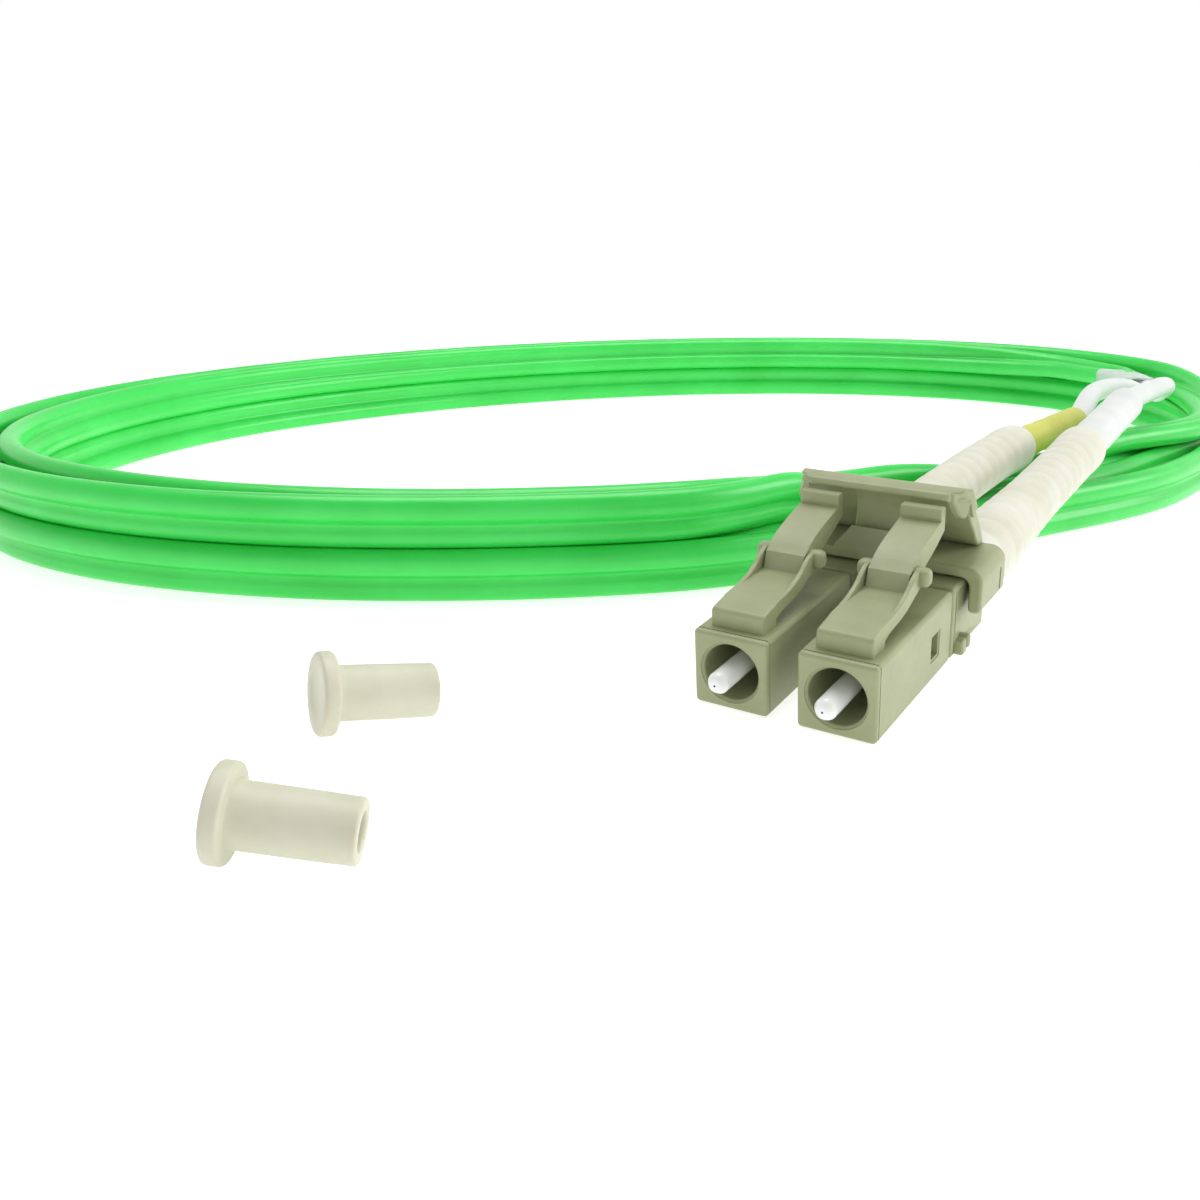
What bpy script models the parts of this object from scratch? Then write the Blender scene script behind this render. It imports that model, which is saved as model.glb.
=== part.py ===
"""Duplex LC fibre optic patch cord: two duplex connectors joined by a coiled zip cord.

Metres, +Z up. The cord lies on the plane z = 0. Each connector is modelled once, in a frame
of its own: x across the two plugs, y from the mating face back to the cord, z up from the
underside of the plugs. The end called near lies in front of the coil, propped on it, and the
end called far lies to the right of the coil.
"""

import math

import bmesh
import bpy
from mathutils import Matrix, Vector

MM = 0.001

# Plug: outside of the moulded housing
PITCH = 6.25 * MM
PLUG = 4.5 * MM
AXIS_Z = PLUG / 2
BORE_R = 1.65 * MM
HOUSING_END = 11.2 * MM
SEAM = 0.15 * MM
REAR_END = 17.2 * MM
EDGE = 0.18 * MM
WINDOW_Y = (8.0 * MM, 9.1 * MM)
WINDOW_Z = (1.4 * MM, 2.8 * MM)
BLOCK_Y = (0.9 * MM, 2.2 * MM)
BLOCK_TOP = 5.5 * MM

# Latch lever: it bends at its root, just behind the block on the housing
LEVER_ROOT = Vector((0, 2.4 * MM, 5.1 * MM))
LEVER_HALF = 1.585 * MM
TAIL_HALF = 1.2 * MM
EAR_HALF = 2.2 * MM
EAR_Y = (7.15 * MM, 8.15 * MM)
EAR_Z = (5.95 * MM, 7.2 * MM)

# Ferrule and what drives it
FERRULE_R = 0.625 * MM
FERRULE_Y = (-1.7 * MM, 8.0 * MM)
FLANGE_R = 1.35 * MM
FLANGE_Y = (6.3 * MM, 8.4 * MM)
SPRING_R = 1.05 * MM
SPRING_WIRE_R = 0.13 * MM
SPRING_Y = (9.2 * MM, 13.6 * MM)
SPRING_TURNS = 5
BUFFER_R = 0.45 * MM
BUFFER_Y = (8.2 * MM, 19.6 * MM)

# Rear body, crimp and boot
SPRING_POCKET_R = 1.35 * MM
SPRING_SEAT_Y = 13.9 * MM
FIBRE_HOLE_R = 0.65 * MM
POST_R = 1.3 * MM
POST_END = 20.2 * MM
PEG_Y = (12.0 * MM, 13.1 * MM)
PEG_Z = (0.05 * MM, 1.05 * MM)
PEG_REACH = 0.5 * MM
CRIMP_R = (1.42 * MM, 1.65 * MM)
CRIMP_Y = (17.4 * MM, 22.4 * MM)
BOOT_Y = (17.6 * MM, 49.5 * MM)
BOOT_R = (2.2 * MM, 1.6 * MM)
JACKET_R = 1.0 * MM
JACKET_START = 20.6 * MM
MARKER_R = (1.12 * MM, 1.35 * MM)
MARKER_START = 49.8 * MM
LEG_DROOP = {("near", "left"): math.radians(5.96)}
MARKER_LENGTH = {"left": 13.0 * MM, "right": 15.0 * MM}

# Duplex clip and trigger, in the connector's frame
CLIP_Y = (12.8 * MM, 17.3 * MM)
CLIP_HALF = 6.5 * MM
CLIP_TOP = 5.35 * MM
CLIP_WALL = 0.8 * MM
CLIP_SKIRT_Z = 2.5 * MM
TRIGGER_ROOT = Vector((0, 16.6 * MM, 5.6 * MM))
TRIGGER_HALF = 5.1 * MM
BAR_TAPER = 0.86
RIB_HALF = 1.75 * MM

# Dust cap; one that lies on its side rests on its flange and on its open end
CAP_LENGTH = 6.4 * MM
CAP_FLANGE = 0.9 * MM
CAP_FLANGE_R = 2.25 * MM
CAP_BODY_R = 1.5 * MM
CAP_HOLE_R = 0.85 * MM
CAP_HOLE_DEPTH = 5.3 * MM
CAP_TILT = math.atan2(CAP_FLANGE_R - CAP_BODY_R, CAP_LENGTH - CAP_FLANGE)

# Cord: two jackets joined side by side
ZIP_WIDTH = 4.1 * MM
SHRINK_WALL = 0.3 * MM
SHRINK_LENGTH = 12.0 * MM

# Coil: four turns in two columns, each two cords high. It is pressed flat under the boots
# of the near connector, and lower where the near cord joins its inner column from above.
COIL_CENTRE = Vector((6.8 * MM, 129.5 * MM, 0))
COIL_HALF = (66.6 * MM, 44.1 * MM)
COIL_TURN = math.radians(25.2)
STACK_TOP = 7.7 * MM
FLAT_TOP = 3.9 * MM
STACK_EDGES = (-3.05 * MM, 1.7 * MM)
FLAT_EDGES = (-8.8 * MM, -0.6 * MM)
COLUMN_STEP = -0.85 * MM
LEFT_DRIFT = 1.5 * MM
PRESSED = {"outer": (-99, -90, -80, -64), "inner": (-98, -89, -72, -58)}
SAGGED_TOP = 6.3 * MM
SAGGED = (-54, -40, 16, 40)
SPREAD = (-108, -90, -82, -60)
JOINING = (-46, -34, -3, 16)
TUCK = 1.5 * MM
TUCKED = (-78, -66, -50, -26)

# Where each end lies, and the middle of what stands on the plane besides the cord
ORIGIN = Vector((12.278 * MM, 72.945 * MM, 0))
NEAR_PLACE = Vector((9.82 * MM, 59.56 * MM, 0.05 * MM))
NEAR_HEADING = math.radians(-34.2)
NEAR_TILT = math.radians(5.96)
FAR_PLACE = Vector((119.5 * MM, 212.7 * MM, 0.0))
FAR_HEADING = math.radians(151.3)
LOOSE_CAPS = {
    "rear": (Vector((-14.9 * MM, 58.1 * MM, 0)), math.radians(25)),
    "front": (Vector((-16.4 * MM, 45.4 * MM, 0)), math.radians(-2)),
}

# Where the cord divides into two legs, and the heading from the legs into the cord
SPLITS = {
    "near": (Vector((63.4 * MM, 142.2 * MM, 5.9 * MM)), Vector((0.17, 0.985, -0.02))),
    "far": (Vector((79.8 * MM, 140.0 * MM, 2.0 * MM)), Vector((-0.48, -0.877, 0))),
}
LEG_STRAIGHT = {"near": 66.0 * MM, "far": 66.0 * MM}
LEG_BENDS = {
    ("near", "left"): [
        Vector((50.8 * MM, 124.0 * MM, 8.0 * MM)),
        Vector((56.6 * MM, 131.6 * MM, 7.5 * MM)),
    ],
    ("near", "right"): [
        Vector((56.4 * MM, 122.2 * MM, 8.8 * MM)),
        Vector((61.2 * MM, 130.6 * MM, 7.7 * MM)),
    ],
    ("far", "left"): [],
    ("far", "right"): [],
}
FAR_TAIL = [
    Vector((63.6 * MM, 114.8 * MM, 2.1 * MM)),
    Vector((67.1 * MM, 118.8 * MM, 2.1 * MM)),
    Vector((70.6 * MM, 123.4 * MM, 2.05 * MM)),
    Vector((73.9 * MM, 129.1 * MM, 2.0 * MM)),
]

FINISHES = {
    "beige_plastic": ((0.42, 0.43, 0.29), 0.45, 0.0),
    "white_rubber": ((0.82, 0.82, 0.76), 0.6, 0.0),
    "ivory_plastic": ((0.76, 0.76, 0.68), 0.5, 0.0),
    "zirconia": ((0.88, 0.9, 0.88), 0.25, 0.0),
    "plated_brass": ((0.7, 0.68, 0.6), 0.3, 1.0),
    "spring_steel": ((0.6, 0.6, 0.6), 0.3, 1.0),
    "lime_jacket": ((0.08, 0.75, 0.16), 0.45, 0.0),
    "white_jacket": ((0.85, 0.86, 0.84), 0.5, 0.0),
    "yellow_marker": ((0.68, 0.7, 0.1), 0.5, 0.0),
    "clear_shrink": ((0.75, 0.8, 0.76), 0.35, 0.0),
    "natural_buffer": ((0.8, 0.78, 0.6), 0.5, 0.0),
}


def clear_scene():
    for obj in list(bpy.data.objects):
        bpy.data.objects.remove(obj, do_unlink=True)


def finish(name):
    found = bpy.data.materials.get(name)
    if found:
        return found
    colour, roughness, metallic = FINISHES[name]
    made = bpy.data.materials.new(name)
    made.use_nodes = True
    shader = made.node_tree.nodes["Principled BSDF"]
    shader.inputs["Base Color"].default_value = (*colour, 1)
    shader.inputs["Roughness"].default_value = roughness
    shader.inputs["Metallic"].default_value = metallic
    return made


def empty(name, parent, place=Vector(), turn=Matrix.Identity(4)):
    made = bpy.data.objects.new(name, None)
    bpy.context.collection.objects.link(made)
    made.parent = parent
    made.matrix_local = Matrix.Translation(place) @ turn
    return made


def put(name, data, parent, finish_name, place=Vector()):
    """One object of the part: data is a mesh or a curve, which several objects may share."""
    made = bpy.data.objects.new(name, data)
    bpy.context.collection.objects.link(made)
    made.parent = parent
    made.location = place
    if not data.materials:
        data.materials.append(finish(finish_name))
    return made


def mesh_of(name, bm, origin=Vector()):
    """Closes a bmesh into a mesh whose own origin is at the given point."""
    bmesh.ops.recalc_face_normals(bm, faces=bm.faces)
    bmesh.ops.translate(bm, verts=bm.verts, vec=-origin)
    mesh = bpy.data.meshes.new(name)
    bm.to_mesh(mesh)
    bm.free()
    return mesh


def smooth(mesh, angle=40):
    mesh.shade_smooth()
    mesh.set_sharp_from_angle(angle=math.radians(angle))
    return mesh


def box(low, high):
    bm = bmesh.new()
    bmesh.ops.create_cube(bm, size=1)
    for vert in bm.verts:
        vert.co = Vector(high[i] if vert.co[i] > 0 else low[i] for i in range(3))
    return bm


def prism(outline, low_x, high_x):
    """A side outline of (y, z) points, extruded across from low_x to high_x."""
    bm = bmesh.new()
    face = bm.faces.new([bm.verts.new((low_x, y, z)) for y, z in outline])
    made = bmesh.ops.extrude_face_region(bm, geom=[face])["geom"]
    moved = [item for item in made if isinstance(item, bmesh.types.BMVert)]
    bmesh.ops.translate(bm, verts=moved, vec=(high_x - low_x, 0, 0))
    return bm


def turned(profile, sides, centre_z=0.0):
    """A profile of (radius, y) points turned about the line along y at height centre_z.

    The profile is closed on itself, and a point at radius 0 is a pole.
    """
    bm = bmesh.new()
    rings = []
    for radius, y in profile:
        if radius == 0:
            rings.append([bm.verts.new((0, y, centre_z))] * sides)
            continue
        ring = []
        for i in range(sides):
            angle = math.tau * (i + 0.5) / sides
            ring.append(bm.verts.new((radius * math.cos(angle), y, centre_z + radius * math.sin(angle))))
        rings.append(ring)
    for here, there in zip(rings, rings[1:] + rings[:1]):
        for i in range(sides):
            j = (i + 1) % sides
            corners = list(dict.fromkeys((here[i], here[j], there[j], there[i])))
            if len(corners) > 2:
                bm.faces.new(corners)
    return bm


def bevelled(bm, width, angle=50):
    """Rounds the edges that are sharper than the angle, in degrees."""
    bm.edges.ensure_lookup_table()
    bmesh.ops.recalc_face_normals(bm, faces=bm.faces)
    sharp = [e for e in bm.edges if e.calc_face_angle(0) > math.radians(angle)]
    bmesh.ops.bevel(
        bm, geom=sharp, offset=width, segments=1, profile=0.5, affect="EDGES", clamp_overlap=True
    )
    return bm


def combined(name, base, others, origin=Vector()):
    """Joins or cuts the base with each (operation, bmesh), and returns the finished mesh."""
    body = bpy.data.objects.new(name, mesh_of(name, base))
    bpy.context.collection.objects.link(body)
    helpers = []
    for number, (operation, shape) in enumerate(others):
        helper = bpy.data.objects.new(f"{name}_{number}", mesh_of(name, shape))
        bpy.context.collection.objects.link(helper)
        helpers.append(helper)
        modifier = body.modifiers.new(operation, "BOOLEAN")
        modifier.operation = operation
        modifier.solver = "EXACT"
        modifier.object = helper
    bpy.context.view_layer.update()
    graph = bpy.context.evaluated_depsgraph_get()
    mesh = bpy.data.meshes.new_from_object(body.evaluated_get(graph))
    mesh.name = name
    mesh.transform(Matrix.Translation(-origin))
    for helper in [*helpers, body]:
        bpy.data.objects.remove(helper, do_unlink=True)
    return smooth(mesh, 35)


def front_housing():
    half = PLUG / 2
    shell = bevelled(box((-half, 0, 0), (half, HOUSING_END, PLUG)), EDGE)
    block = box((-LEVER_HALF, BLOCK_Y[0], PLUG - EDGE), (LEVER_HALF, BLOCK_Y[1], BLOCK_TOP))
    past = 1.0 * MM
    bore = turned(
        [(0, -past), (BORE_R, -past), (BORE_R, HOUSING_END + past), (0, HOUSING_END + past)], 24, AXIS_Z
    )
    window = box((-half - past, WINDOW_Y[0], WINDOW_Z[0]), (half + past, WINDOW_Y[1], WINDOW_Z[1]))
    cuts = [("UNION", bevelled(block, EDGE)), ("DIFFERENCE", bore), ("DIFFERENCE", window)]
    return combined("front_housing", shell, cuts)


def latch_lever():
    """A thin spring arm with two side ears, stepped up to a narrower tail with a lip."""
    arm = [
        (2.35, 4.75), (3.4, 5.0), (5.1, 5.15), (6.2, 5.5), (7.3, 5.9),
        (7.0, 6.95), (6.25, 6.25), (4.8, 6.05), (3.6, 6.05), (2.35, 5.8),
    ]  # fmt: skip
    tail = [(6.6, 5.6), (8.0, 6.1), (12.1, 8.0), (12.1, 9.15), (11.75, 9.15), (11.7, 8.5), (6.8, 6.85)]
    arm = prism([(y * MM, z * MM) for y, z in arm], -LEVER_HALF, LEVER_HALF)
    tail = prism([(y * MM, z * MM) for y, z in tail], -TAIL_HALF, TAIL_HALF)
    ears = bevelled(box((-EAR_HALF, EAR_Y[0], EAR_Z[0]), (EAR_HALF, EAR_Y[1], EAR_Z[1])), EDGE)
    return combined("latch_lever", arm, [("UNION", tail), ("UNION", ears)], LEVER_ROOT)


def ferrule():
    tip, end = FERRULE_Y
    chamfer = 0.25 * MM
    profile = [
        (0, tip), (FERRULE_R - chamfer, tip), (FERRULE_R, tip + 1.5 * chamfer), (FERRULE_R, end), (0, end)
    ]  # fmt: skip
    return smooth(mesh_of("ferrule", turned(profile, 20)))


def ferrule_flange():
    front, back = FLANGE_Y
    inner = FERRULE_R + 0.08 * MM
    neck_y = back - 0.7 * MM
    profile = [
        (inner, front), (FLANGE_R, front), (FLANGE_R, neck_y),
        (FLANGE_R - 0.5 * MM, neck_y), (FLANGE_R - 0.5 * MM, back), (inner, back),
    ]  # fmt: skip
    return smooth(mesh_of("ferrule_flange", turned(profile, 12)))


def ferrule_spring():
    front, back = SPRING_Y
    steps = SPRING_TURNS * 8
    points = []
    for i in range(steps + 1):
        angle = math.tau * SPRING_TURNS * i / steps
        y = front + (back - front) * i / steps
        points.append(Vector((SPRING_R * math.cos(angle), y, AXIS_Z + SPRING_R * math.sin(angle))))
    return tube("ferrule_spring", points, SPRING_WIRE_R, 1)


def fibre_buffer():
    front, back = BUFFER_Y
    profile = [(0, front), (BUFFER_R, front), (BUFFER_R, back), (0, back)]
    return smooth(mesh_of("fibre_buffer", turned(profile, 10)))


def rear_body():
    half = PLUG / 2
    front = HOUSING_END + SEAM
    past = 1.0 * MM
    shell = bevelled(box((-half, front, 0), (half, REAR_END, PLUG)), EDGE)
    post = turned(
        [(0, REAR_END - past), (POST_R, REAR_END - past), (POST_R, POST_END), (0, POST_END)], 16, AXIS_Z
    )
    reach = half + PEG_REACH
    pegs = bevelled(box((-reach, PEG_Y[0], PEG_Z[0]), (reach, PEG_Y[1], PEG_Z[1])), EDGE)
    pocket = turned(
        [
            (0, front - past), (SPRING_POCKET_R, front - past), (SPRING_POCKET_R, SPRING_SEAT_Y),
            (FIBRE_HOLE_R, SPRING_SEAT_Y), (FIBRE_HOLE_R, POST_END + past), (0, POST_END + past),
        ],
        16,
        AXIS_Z,
    )  # fmt: skip
    return combined("rear_body", shell, [("UNION", post), ("UNION", pegs), ("DIFFERENCE", pocket)])


def sleeve(name, radii, span, centre_z, sides=16):
    inner, outer = radii
    front, back = span
    profile = [(inner, front), (outer, front), (outer, back), (inner, back)]
    return smooth(mesh_of(name, turned(profile, sides, centre_z)))


def boot():
    """A tapered bend limiter: a wide collar over the crimp, then a long narrowing sleeve."""
    front, back = BOOT_Y
    wide, narrow = BOOT_R
    crimp_room = CRIMP_R[1] + 0.15 * MM
    jacket_room = JACKET_R + 0.15 * MM
    step_y = CRIMP_Y[1] + 0.3 * MM
    profile = [
        (crimp_room, front), (wide, front), (wide, 27.0 * MM), (1.9 * MM, 38.0 * MM), (narrow, 46.5 * MM),
        (narrow, back), (jacket_room, back), (jacket_room, step_y), (crimp_room, step_y),
    ]  # fmt: skip
    return smooth(mesh_of("boot", turned(profile, 20, AXIS_Z)))


def duplex_clip():
    """A saddle over both rear bodies: a flat top with a skirt down each side."""
    inner = CLIP_HALF - CLIP_WALL
    under = PLUG + 0.15 * MM
    shoulder = 0.8 * MM
    outline = [
        (-CLIP_HALF, CLIP_SKIRT_Z), (-CLIP_HALF, CLIP_TOP - shoulder), (-CLIP_HALF + shoulder, CLIP_TOP),
        (CLIP_HALF - shoulder, CLIP_TOP), (CLIP_HALF, CLIP_TOP - shoulder), (CLIP_HALF, CLIP_SKIRT_Z),
        (inner, CLIP_SKIRT_Z), (inner, under), (-inner, under), (-inner, CLIP_SKIRT_Z),
    ]  # fmt: skip
    bm = bmesh.new()
    face = bm.faces.new([bm.verts.new((x, CLIP_Y[0], z)) for x, z in outline])
    made = bmesh.ops.extrude_face_region(bm, geom=[face])["geom"]
    moved = [item for item in made if isinstance(item, bmesh.types.BMVert)]
    bmesh.ops.translate(bm, verts=moved, vec=(0, CLIP_Y[1] - CLIP_Y[0], 0))
    return smooth(mesh_of("duplex_clip", bevelled(bm, 0.12 * MM)), 35)


def trigger():
    """A bar over both latch tails, on a web that leans forward and bends at the clip's rear edge."""
    foot = CLIP_TOP + 0.1 * MM
    web = [
        (17.2 * MM, foot), (16.3 * MM, 7.0 * MM), (14.8 * MM, 8.8 * MM), (13.8 * MM, 9.85 * MM),
        (12.35 * MM, 9.75 * MM), (12.25 * MM, 9.4 * MM), (13.4 * MM, 9.3 * MM), (14.2 * MM, 8.0 * MM),
        (15.3 * MM, 6.6 * MM), (15.7 * MM, 5.75 * MM), (16.4 * MM, foot),
    ]  # fmt: skip
    rib = [
        (16.6 * MM, 5.6 * MM), (14.9 * MM, 8.2 * MM), (13.7 * MM, 9.5 * MM), (13.2 * MM, 9.45 * MM),
        (13.7 * MM, 8.3 * MM), (13.8 * MM, 7.4 * MM), (13.0 * MM, 6.4 * MM), (15.9 * MM, 5.65 * MM),
    ]  # fmt: skip
    wall = prism(web, -TRIGGER_HALF, TRIGGER_HALF)
    for vert in wall.verts:
        if vert.co.y < 13 * MM:
            vert.co.x *= BAR_TAPER
    return combined("trigger", wall, [("UNION", prism(rib, -RIB_HALF, RIB_HALF))], TRIGGER_ROOT)


def dust_cap():
    """A plug-shaped cap: its open end is at y = 0 and its flange at negative y."""
    profile = [
        (0, -CAP_LENGTH), (CAP_FLANGE_R, -CAP_LENGTH),
        (CAP_FLANGE_R, -CAP_LENGTH + CAP_FLANGE), (CAP_BODY_R, -CAP_LENGTH + CAP_FLANGE),
        (CAP_BODY_R, 0), (CAP_HOLE_R, 0), (CAP_HOLE_R, -CAP_HOLE_DEPTH), (0, -CAP_HOLE_DEPTH),
    ]  # fmt: skip
    return smooth(mesh_of("dust_cap", turned(profile, 24)))


def tube(name, points, radius, resolution=2):
    """A round tube with closed ends along the points."""
    curve = bpy.data.curves.new(name, "CURVE")
    curve.dimensions = "3D"
    curve.bevel_depth = radius
    curve.bevel_resolution = resolution
    curve.use_fill_caps = True
    spline = curve.splines.new("POLY")
    spline.points.add(len(points) - 1)
    for slot, point in zip(spline.points, points):
        slot.co = (*point, 1)
    return curve


def route(points, spacing):
    """Points a set distance apart on a smooth curve through the given ones."""
    ends = [2 * points[0] - points[1], *points, 2 * points[-1] - points[-2]]
    fine = []
    for a, b, c, d in zip(ends, ends[1:], ends[2:], ends[3:]):
        for i in range(24):
            t = i / 24
            fine.append(
                0.5 * (2 * b + (c - a) * t + (2 * a - 5 * b + 4 * c - d) * t**2 + (3 * b - a - 3 * c + d) * t**3)
            )
    fine.append(points[-1])
    total = sum((b - a).length for a, b in zip(fine, fine[1:]))
    count = max(2, round(total / spacing))
    kept = [fine[0]]
    travelled = 0.0
    for a, b in zip(fine, fine[1:]):
        travelled += (b - a).length
        if travelled >= total * len(kept) / count and len(kept) < count:
            kept.append(b)
    return [*kept, fine[-1]]


def eased(value, low, high):
    """0 below low, 1 above high, and a smooth rise between."""
    t = min(1.0, max(0.0, (value - low) / (high - low)))
    return t * t * (3 - 2 * t)


def mixed(a, b, share):
    return a + (b - a) * share


def lowered(angle, span):
    """How far the band is let down at an angle: the span is where it starts, is down, rises, is up."""
    start, down, rise, up = span
    return eased(angle, start, down) * (1 - eased(angle, rise, up))


def coil_point(angle, offset, height):
    """A point of the oval band, at an offset outwards from its middle line."""
    turn = math.radians(angle)
    along, across = COIL_HALF
    point = Vector((along * math.cos(turn), across * math.sin(turn), 0))
    normal = Vector((math.cos(turn) / along, math.sin(turn) / across, 0)).normalized()
    return COIL_CENTRE + Matrix.Rotation(COIL_TURN, 3, "Z") @ (point + normal * offset) + Vector((0, 0, height))


def cord_coil():
    """The outer shape of the coiled turns: an oval ring of two columns side by side."""
    bm = bmesh.new()
    rings = []
    stations = 120
    chamfer = 0.7 * MM
    for i in range(stations):
        angle = -180 + 360 * i / stations
        outer_low = lowered(angle, PRESSED["outer"])
        inner_low = max(lowered(angle, PRESSED["inner"]), lowered(angle, JOINING))
        drift = LEFT_DRIFT * (1 - eased(abs(abs(angle) - 172), 12, 50))
        tuck = TUCK * lowered(angle, TUCKED) * (1 - outer_low)
        step = COLUMN_STEP - tuck
        inner = mixed(STACK_EDGES[0], FLAT_EDGES[0], lowered(angle, SPREAD)) - drift - 0.6 * tuck
        outer = mixed(STACK_EDGES[1], FLAT_EDGES[1], outer_low) - tuck
        low = mixed(STACK_TOP, FLAT_TOP, inner_low)
        high = mixed(mixed(STACK_TOP, SAGGED_TOP, lowered(angle, SAGGED)), FLAT_TOP, outer_low)
        section = [
            (inner + chamfer, 0), (outer - chamfer, 0), (outer, chamfer), (outer, high - chamfer),
            (outer - chamfer, high), (step + chamfer / 4, high), (step - chamfer / 4, low),
            (inner + chamfer, low), (inner, low - chamfer), (inner, chamfer),
        ]  # fmt: skip
        rings.append([bm.verts.new(coil_point(angle, *at)) for at in section])
    for here, there in zip(rings, rings[1:] + rings[:1]):
        for j, k in zip(range(10), [*range(1, 10), 0]):
            bm.faces.new((here[j], here[k], there[k], there[j]))
    return smooth(mesh_of("cord_coil", bm), 50)


def split_shrink(name, start, heading):
    """A flattened sleeve over the place where the cord divides into its two legs."""
    wide = ZIP_WIDTH / 2 + SHRINK_WALL
    tall = JACKET_R + SHRINK_WALL
    side = Vector((heading.y, -heading.x, 0))
    lip = 0.5 * MM
    bm = bmesh.new()
    rings = []
    for travel, share in ((0, 0.86), (lip, 1), (SHRINK_LENGTH - lip, 1), (SHRINK_LENGTH, 0.86)):
        ring = []
        for i in range(16):
            angle = math.tau * (i + 0.5) / 16
            across = tall * math.cos(angle) + math.copysign(wide - tall, math.cos(angle))
            spoke = side * across + Vector((0, 0, tall * math.sin(angle)))
            ring.append(bm.verts.new(start + heading * travel + spoke * share))
        rings.append(ring)
    for here, there in zip(rings, rings[1:]):
        for j, k in zip(range(16), [*range(1, 16), 0]):
            bm.faces.new((here[j], here[k], there[k], there[j]))
    bm.faces.new(rings[0])
    bm.faces.new(rings[-1])
    return smooth(mesh_of(name, bm), 50)


def build_end(end, layout, place, turn, shapes, capped):
    """One duplex connector with its two legs, up to the split in the cord."""
    frame = empty(f"end_{end}", layout, place, turn)
    for side, sign in (("left", -1), ("right", 1)):
        tag = f"{end}_{side}"
        plug = empty(f"plug_{tag}", frame, Vector((sign * PITCH / 2, 0, 0)))
        axis = Vector((0, 0, AXIS_Z))
        put(f"front_housing_{tag}", shapes["front_housing"], plug, "beige_plastic")
        put(f"latch_lever_{tag}", shapes["latch_lever"], plug, "beige_plastic", LEVER_ROOT)
        put(f"ferrule_{tag}", shapes["ferrule"], plug, "zirconia", axis)
        put(f"ferrule_flange_{tag}", shapes["ferrule_flange"], plug, "plated_brass", axis)
        put(f"ferrule_spring_{tag}", shapes["ferrule_spring"], plug, "spring_steel")
        put(f"fibre_buffer_{tag}", shapes["fibre_buffer"], plug, "natural_buffer", axis)
        put(f"rear_body_{tag}", shapes["rear_body"], plug, "beige_plastic")
        put(f"crimp_sleeve_{tag}", shapes["crimp_sleeve"], plug, "plated_brass")
        put(f"boot_{tag}", shapes["boot"], plug, "white_rubber")
        marker = "yellow_marker" if side == "left" else "white_jacket"
        droop = Matrix.Rotation(-LEG_DROOP.get((end, side), 0), 4, "X")
        collar = empty(f"boot_end_{tag}", plug, axis + Vector((0, MARKER_START, 0)), droop)
        put(f"marker_sleeve_{tag}", shapes[f"marker_{side}"], collar, marker)
        if capped:
            seat = axis + Vector((0, FERRULE_Y[0] + CAP_HOLE_DEPTH - 0.15 * MM, 0))
            put(f"dust_cap_{tag}", shapes["dust_cap"], plug, "ivory_plastic", seat)
        build_leg(end, side, layout, place, turn)
    put(f"duplex_clip_{end}", shapes["duplex_clip"], frame, "beige_plastic")
    put(f"trigger_{end}", shapes["trigger"], frame, "beige_plastic", TRIGGER_ROOT)


def build_leg(end, side, layout, place, turn):
    """A single jacket, straight out of the boot and then over to its port in the split."""
    sign = -1 if side == "left" else 1
    world = Matrix.Translation(place) @ turn
    droop = LEG_DROOP.get((end, side), 0)
    axis = []
    for y in (JACKET_START, 34 * MM, 47 * MM, 52 * MM, 60 * MM, LEG_STRAIGHT[end]):
        past = max(0, y - MARKER_START)
        axis.append(world @ Vector((sign * PITCH / 2, y, AXIS_Z - past * math.tan(droop))))
    start, heading = SPLITS[end]
    across = Vector((heading.y, -heading.x, 0)) * (JACKET_R + 0.1 * MM)
    port = start - heading * 0.3 * MM + across * sign
    points = route([*axis, *LEG_BENDS[end, side], port - heading * 4.0 * MM, port], 3.6 * MM)
    name = f"cord_leg_{end}_{side}"
    put(name, tube(name, points, JACKET_R), layout, "white_jacket")


def build():
    clear_scene()
    layout = empty("layout", None, -ORIGIN)
    shapes = {
        "front_housing": front_housing(),
        "latch_lever": latch_lever(),
        "ferrule": ferrule(),
        "ferrule_flange": ferrule_flange(),
        "ferrule_spring": ferrule_spring(),
        "fibre_buffer": fibre_buffer(),
        "rear_body": rear_body(),
        "crimp_sleeve": sleeve("crimp_sleeve", CRIMP_R, CRIMP_Y, AXIS_Z),
        "boot": boot(),
        "duplex_clip": duplex_clip(),
        "trigger": trigger(),
        "dust_cap": dust_cap(),
    }
    for side, length in MARKER_LENGTH.items():
        shapes[f"marker_{side}"] = sleeve(f"marker_{side}", MARKER_R, (0, length), 0, 12)
    near_turn = Matrix.Rotation(NEAR_HEADING, 4, "Z") @ Matrix.Rotation(NEAR_TILT, 4, "X")
    build_end("near", layout, NEAR_PLACE, near_turn, shapes, capped=False)
    build_end("far", layout, FAR_PLACE, Matrix.Rotation(FAR_HEADING, 4, "Z"), shapes, capped=True)
    lift = Vector((0, 0, CAP_BODY_R * math.cos(CAP_TILT) + CAP_LENGTH * math.sin(CAP_TILT)))
    for name, (place, heading) in LOOSE_CAPS.items():
        turn = Matrix.Rotation(heading - math.pi / 2, 4, "Z") @ Matrix.Rotation(-CAP_TILT, 4, "X")
        spot = empty(f"loose_cap_{name}", layout, place + lift, turn)
        put(f"dust_cap_loose_{name}", shapes["dust_cap"], spot, "ivory_plastic", Vector((0, CAP_LENGTH, 0)))
    put("cord_coil", cord_coil(), layout, "lime_jacket")
    tail = tube("cord_tail", route(FAR_TAIL, 4.0 * MM), ZIP_WIDTH / 2 - 0.05 * MM)
    put("cord_tail", tail, layout, "lime_jacket")
    for end, (start, heading) in SPLITS.items():
        name = f"split_shrink_{end}"
        put(name, split_shrink(name, start, heading), layout, "clear_shrink")


build()
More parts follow.
